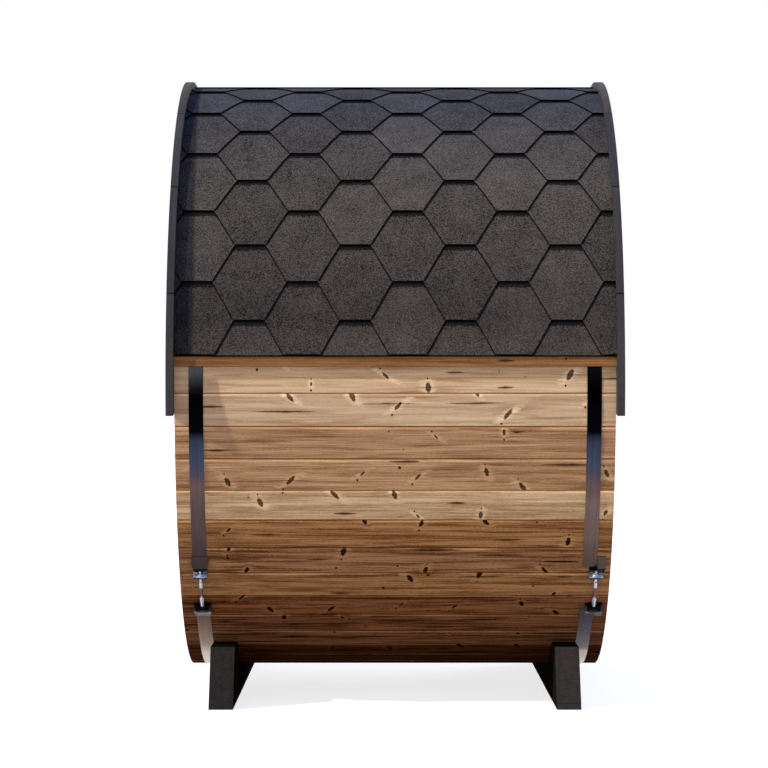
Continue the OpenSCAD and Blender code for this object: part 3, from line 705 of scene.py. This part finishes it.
def tab_mesh(name, rows):
    """One felt tab, laid flat, from rows of half width, distance up from the butt, top and underside."""
    made = bpy.data.meshes.new(name)
    form = bmesh.new()
    up = form.verts.layers.float.new("up")
    aside = form.verts.layers.float.new("aside")
    cut = form.faces.layers.float.new("cut")
    shares = (-1.0, -0.5, 0.0, 0.5, 1.0)
    tops, unders = [], []
    for half, rise, top, under in rows:
        for level, row in ((top, tops), (under, unders)):
            row.append([form.verts.new((half * share, rise, level)) for share in shares])
            for corner in row[-1]:
                corner[up] = rise
                corner[aside] = corner.co.x
    for low in range(len(rows) - 1):
        for left in range(len(shares) - 1):
            below, above = tops[low], tops[low + 1]
            form.faces.new((below[left], below[left + 1], above[left + 1], above[left]))
            below, above = unders[low], unders[low + 1]
            form.faces.new((below[left], above[left], above[left + 1], below[left + 1]))
        for edge, step in ((0, 1), (-1, -1)):
            ring = (tops[low][edge], tops[low + 1][edge], unders[low + 1][edge], unders[low][edge])
            form.faces.new(ring[::step])[cut] = 1.0
    for row, step in ((0, 1), (-1, -1)):
        for left in range(len(shares) - 1):
            ring = (tops[row][left], unders[row][left], unders[row][left + 1], tops[row][left + 1])
            form.faces.new(ring[::step])[cut] = 1.0
    bmesh.ops.recalc_face_normals(form, faces=form.faces)
    form.to_mesh(made)
    form.free()
    return bpy.data.objects.new(name, made)


lay = bpy.data.node_groups.new("lay_courses", "GeometryNodeTree")
sizes = {
    "Courses": courses, "Tabs": tabs_across, "Exposure": exposure, "Pitch": tab_pitch,
    "Shift": tab_shift, "Radius": strip_radius, "First turn": tabs_turn, "Eave turn": eave_trim,
    "Axis height": axis_height, "Side": 1.0}
lay.interface.new_socket("Geometry", in_out="OUTPUT", socket_type="NodeSocketGeometry")
lay.interface.new_socket("Tab", in_out="INPUT", socket_type="NodeSocketObject")
lay.interface.new_socket("Finish", in_out="INPUT", socket_type="NodeSocketMaterial")
for label, usual in sizes.items():
    kind = "NodeSocketInt" if isinstance(usual, int) else "NodeSocketFloat"
    lay.interface.new_socket(label, in_out="INPUT", socket_type=kind).default_value = usual
given = lay.nodes.new("NodeGroupInput").outputs
last_course = sums(lay, "SUBTRACT", given["Courses"], 1.0)
last_tab = sums(lay, "SUBTRACT", given["Tabs"], 1.0)
rise = sums(lay, "MULTIPLY", last_course, given["Exposure"])
points = add(lay, "GeometryNodeMeshGrid", {
    "Size X": sums(lay, "MULTIPLY", last_tab, given["Pitch"]), "Size Y": rise,
    "Vertices X": given["Tabs"], "Vertices Y": given["Courses"]}).outputs["Mesh"]
spot = add(lay, "ShaderNodeSeparateXYZ", {0: add(lay, "GeometryNodeInputPosition").outputs[0]}).outputs
from_eave = sums(lay, "MULTIPLY_ADD", rise, 0.5, spot[1])
course = sums(lay, "ROUND", sums(lay, "DIVIDE", from_eave, given["Exposure"]))
odd = sums(lay, "FLOORED_MODULO", course, 2.0)
aside = sums(lay, "MULTIPLY", sums(lay, "MULTIPLY", odd, given["Pitch"]), -0.5)
moved = add(lay, "ShaderNodeCombineXYZ", {
    0: sums(lay, "ADD", sums(lay, "ADD", spot[0], given["Shift"]), aside), 1: from_eave}).outputs[0]
points = add(lay, "GeometryNodeSetPosition", {"Geometry": points, "Position": moved}).outputs[0]
tab = add(lay, "GeometryNodeObjectInfo", {"Object": given["Tab"]}).outputs["Geometry"]
laid = add(lay, "GeometryNodeInstanceOnPoints", {"Points": points, "Instance": tab}).outputs[0]
tone = add(lay, "FunctionNodeRandomValue", {"Seed": 11}, data_type="FLOAT").outputs[1]
laid = add(lay, "GeometryNodeStoreNamedAttribute", {"Geometry": laid, "Name": "tone", "Value": tone},
           data_type="FLOAT", domain="INSTANCE").outputs[0]
laid = add(lay, "GeometryNodeRealizeInstances", {"Geometry": laid}).outputs[0]
spot = add(lay, "ShaderNodeSeparateXYZ", {0: add(lay, "GeometryNodeInputPosition").outputs[0]}).outputs
turn = sums(lay, "ADD", given["First turn"], sums(lay, "DIVIDE", spot[1], given["Radius"]))
turn = sums(lay, "MAXIMUM", turn, given["Eave turn"])
reach = sums(lay, "ADD", given["Radius"], spot[2])
outward = sums(lay, "MULTIPLY", sums(lay, "MULTIPLY", reach, sums(lay, "COSINE", turn)),
               sums(lay, "MULTIPLY", given["Side"], -1.0))
upward = sums(lay, "MULTIPLY_ADD", reach, sums(lay, "SINE", turn), given["Axis height"])
wrapped = add(lay, "ShaderNodeCombineXYZ", {0: spot[0], 1: outward, 2: upward}).outputs[0]
laid = add(lay, "GeometryNodeSetPosition", {"Geometry": laid, "Position": wrapped}).outputs[0]
laid = add(lay, "GeometryNodeSetMaterial", {"Geometry": laid, "Material": given["Finish"]}).outputs[0]
add(lay, "NodeGroupOutput", {"Geometry": laid})

felt, tree, shader = open_finish("bitumen_shingle")
spot = add(tree, "ShaderNodeTexCoord").outputs["Object"]
grit = add(tree, "ShaderNodeTexVoronoi", {"Vector": spot, "Scale": 420.0}).outputs["Color"]
grit = add(tree, "ShaderNodeSeparateColor", {0: grit}).outputs[0]
speck = add(tree, "ShaderNodeTexNoise", {"Vector": spot, "Scale": 240.0, "Detail": 2.0}).outputs[0]
patch = add(tree, "ShaderNodeTexNoise", {"Vector": spot, "Scale": 14.0, "Detail": 3.0}).outputs[0]
tab_tone, up_tab, aside_tab, cut_edge = (
    add(tree, "ShaderNodeAttribute", attribute_name=label).outputs["Fac"]
    for label in ("tone", "up", "aside", "cut"))
lightness = sums(tree, "MULTIPLY", grit, 0.42)
lightness = sums(tree, "MULTIPLY_ADD", speck, 0.40, lightness)
lightness = sums(tree, "MULTIPLY_ADD", patch, 0.24, lightness)
lightness = sums(tree, "MULTIPLY_ADD", tab_tone, 0.10, lightness)
pale = spread(tree, lightness, 0.32, 0.88, smooth=False)
granule = mixed(tree, pale, tint(19, 17, 15), tint(98, 92, 84))
at = here(tree)
turn = sums(tree, "ARCTAN2", sums(tree, "SUBTRACT", at[2], axis_height), sums(tree, "ABSOLUTE", at[1]))
# The felt's tone by degrees of turn above the axis: it varies course by course, and a painted sky light
# makes it bluer toward the ridge.
ridge_turn = 90
felt_tones = (
    (4, (0.97, 0.97, 0.97, 1)), (7.5, (0.92, 0.91, 0.91, 1)), (11, (0.78, 0.77, 0.77, 1)),
    (18, (0.94, 0.93, 0.90, 1)), (26, (1.03, 1.03, 0.94, 1)), (35, (1.16, 1.17, 1.00, 1)),
    (50, (1.13, 1.16, 1.07, 1)), (66, (0.95, 1.10, 1.24, 1)))
course_and_sky_stops = [(rise / ridge_turn, colour) for rise, colour in felt_tones]
sky_light_and_course_tone = ramp(tree, sums(tree, "DIVIDE", turn, math.radians(ridge_turn)), course_and_sky_stops)["Color"]
granule = mixed(tree, 1.0, granule, sky_light_and_course_tone, "MULTIPLY")
# On the left slope a painted shadow darkens a strip beside the rear fascia, where the fascia casts its
# shadow.
painted_shadow_tone = (0.38, 0.41, 0.50, 1)
painted_shadow_reach = spread(tree, turn, 0.2, 1.4, 0.063, 0.038)
from_fascia = sums(tree, "DIVIDE", sums(tree, "ADD", at[0], roof_end), painted_shadow_reach)
painted_shadow = sums(tree, "MULTIPLY", spread(tree, from_fascia, 1.05, 0.80), sums(tree, "LESS_THAN", at[1], 0.0))
granule = mixed(tree, painted_shadow, granule, mixed(tree, 1.0, granule, painted_shadow_tone, "MULTIPLY"))
# Painted shade lies under each butt, along the sides of the tabs, wider on their lee side, and at the eave;
# the cut edges of the felt are black.
capped = sums(tree, "LESS_THAN", turn, last_butts)
under_butt = sums(tree, "SUBTRACT", 2 * exposure, up_tab)
shade_reach = (0.0330, 0.0265)
shade = spread(tree, sums(tree, "MULTIPLY_ADD", speck, 0.022, under_butt), *shade_reach, 0.0, 0.86)
shade = sums(tree, "MULTIPLY", shade, capped)
seam_reach = (0.0090, 0.0055)
seam = sums(tree, "MULTIPLY", spread(tree, under_butt, *seam_reach, 0.0, 0.95), capped)
eave_line = spread(tree, turn, eave_turn + 0.0046, eave_turn + 0.0032)
under_first = sums(tree, "GREATER_THAN", sums(tree, "ABSOLUTE", aside_tab), (tab_pitch - butt) / 2)
first_gap = spread(tree, turn, eave_trim + 0.0012, eave_trim + 0.0002)
first_gap = sums(tree, "MULTIPLY", first_gap, under_first)
covered = sums(tree, "DIVIDE", sums(tree, "SUBTRACT", up_tab, exposure), exposure)
covered = sums(tree, "MULTIPLY_ADD", covered, butt - tab_pitch / 2, (tab_pitch - butt) / 2)
under_side = sums(tree, "SUBTRACT", covered, sums(tree, "ABSOLUTE", aside_tab))
lee = sums(tree, "LESS_THAN", aside_tab, 0.0)
side_seam = spread(tree, under_side, sized(tree, lee, least=0.0062, more=0.0048),
                   sized(tree, lee, least=0.0025, more=0.0030), 0.0, 0.85)
side_seam = sums(tree, "MULTIPLY", side_seam, sums(tree, "GREATER_THAN", up_tab, exposure))
granule = mixed(tree, shade, granule, tint(12, 11, 12))
granule = mixed(tree, sums(tree, "MAXIMUM", seam, side_seam), granule, tint(6, 6, 8))
at_eave = sums(tree, "MAXIMUM", sums(tree, "MAXIMUM", eave_line, first_gap), cut_edge)
granule = mixed(tree, at_eave, granule, tint(4, 4, 5))
tree.links.new(granule, shader.inputs["Base Color"])
grain = add(tree, "ShaderNodeBump", {"Strength": 0.5, "Distance": 0.0008, "Height": lightness})
tree.links.new(grain.outputs[0], shader.inputs["Normal"])
shader.inputs["Roughness"].default_value = 0.92
shader.inputs["Specular IOR Level"].default_value = 0.03


def felt_top(rise):
    """The level of a strip's face, which sinks by one sheet for each course that it runs up."""
    return 3 * sheet - rise / exposure * sheet


tab_steps = 8
tab_rows = []
for count in range(tab_steps + 1):
    rise = exposure * count / tab_steps
    half = butt / 2 + (tab_pitch - 2 * butt) / 2 * count / tab_steps
    tab_rows.append((half, rise, felt_top(rise), felt_top(rise) - sheet + sheet_gap))
shoulder_start = 1.002
shoulder = exposure * shoulder_start
for count in range(tab_steps + 1):
    rise = shoulder + (exposure + head_lap) * count / tab_steps
    tab_rows.append((tab_pitch / 2, rise, felt_top(rise), felt_top(rise) - sheet + sheet_gap))
felt_tab = tab_mesh("felt_tab", tab_rows)
starter_steps = 12
starter_height = 1.2 * exposure
starter_start = (eave_turn - tabs_turn + course_turn) * strip_radius
starter_rows = []
for count in range(starter_steps + 1):
    rise = starter_start + starter_height * count / starter_steps
    top = felt_top(rise)
    starter_rows.append((tab_pitch / 2, rise, top - sheet_gap, min(0.0, top - sheet)))
felt_starter = tab_mesh("felt_starter", starter_rows)
ridge_half = 0.040
ridge_rows = []
for count in range(tab_steps + 1):
    rise = 2 * ridge_half * count / tab_steps
    ridge_rows.append((roof_end, rise, 4 * sheet, 3 * sheet + sheet_gap))
felt_ridge = tab_mesh("felt_ridge", ridge_rows)


def lay_strips(tab, side, **changes):
    """The courses of one slope as a plain mesh."""
    holder = bpy.data.objects.new("courses", bpy.data.meshes.new("courses"))
    scene.collection.objects.link(holder)
    layer = holder.modifiers.new("courses", "NODES")
    layer.node_group = lay
    values = {**sizes, "Side": side, "Tab": tab, "Finish": felt, **changes}
    for socket in lay.interface.items_tree:
        if socket.in_out == "INPUT":
            layer[socket.identifier] = values[socket.name]
    evaluated = holder.evaluated_get(bpy.context.evaluated_depsgraph_get())
    made = bpy.data.meshes.new_from_object(evaluated)
    bpy.data.objects.remove(holder)
    return made


cut_snap = 1e-6
for slope, side in (("left", 1.0), ("right", -1.0)):
    form = bmesh.new()
    form.from_mesh(lay_strips(felt_tab, side))
    form.from_mesh(lay_strips(felt_starter, side, **{
        "Courses": 1, "Shift": tab_shift - tab_pitch / 2,
        "First turn": tabs_turn - course_turn, "Eave turn": eave_turn}))
    limits = (((roof_end, 0, 0), (1, 0, 0)), ((-roof_end, 0, 0), (-1, 0, 0)), ((0, 0, 0), (0, side, 0)))
    for spot, outside in limits:
        everything = [*form.verts, *form.edges, *form.faces]
        trimmed = bmesh.ops.bisect_plane(form, geom=everything, dist=cut_snap, plane_co=spot,
                                         plane_no=outside, clear_outer=True)
        rim = [edge for edge in trimmed["geom_cut"] if isinstance(edge, bmesh.types.BMEdge)]
        bmesh.ops.holes_fill(form, edges=rim, sides=0)
    bmesh.ops.recalc_face_normals(form, faces=form.faces)
    made = bpy.data.meshes.new(f"shingle_tabs_{slope}")
    form.to_mesh(made)
    form.free()
    made.materials.clear()
    made.materials.append(felt)
    shingles = bpy.data.objects.new(f"shingle_tabs_{slope}", made)
    scene.collection.objects.link(shingles)
    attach(shingles, "root")
    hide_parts(f"shingles_{slope}")
ridge = bpy.data.objects.new("ridge_strip", lay_strips(felt_ridge, 1.0, **{
    "Courses": 1, "Tabs": 1, "Shift": 0.0, "First turn": math.radians(90) - ridge_half / strip_radius}))
scene.collection.objects.link(ridge)
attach(ridge, "root")
for pattern in (felt_tab, felt_starter, felt_ridge):
    bpy.data.objects.remove(pattern)


# The fascias: nine short boards butted into an arch round each end of the roof.
# They are sawn to the curve, painted charcoal, and stand a little proud of the shingles.
fascia_part = math.radians(21.4)
fascia_start = math.radians(-6.3)
fascia_radius = 0.945
charcoal, tree, shader = open_finish("charcoal_painted_timber")
along, across, depth, board = placed_round(tree, fascia_part, fascia_start, past_last_board, fascia_radius)
front_from = 20.0
end = sums(tree, "MULTIPLY", sums(tree, "GREATER_THAN", along, 0.0), front_from)
place = (across, depth, along, sums(tree, "ADD", board, end))
wood = timber(tree, shader, place, dark=tint(42, 40, 40), light=tint(62, 59, 58), heart=tint(20, 20, 21),
              knots=0.22, casts=(0.90, 1.10), gloss=0.64, relief=0.0005, shine=0.15)
fascia_half = fascia_part * fascia_radius / 2
wood = jointed(tree, wood, across, fascia_half, gap=0.0036, dirt=tint(10, 10, 11), depth=0.9)
tree.links.new(wood, shader.inputs["Base Color"])
dress(charcoal, "rear_fascia", "front_fascia")
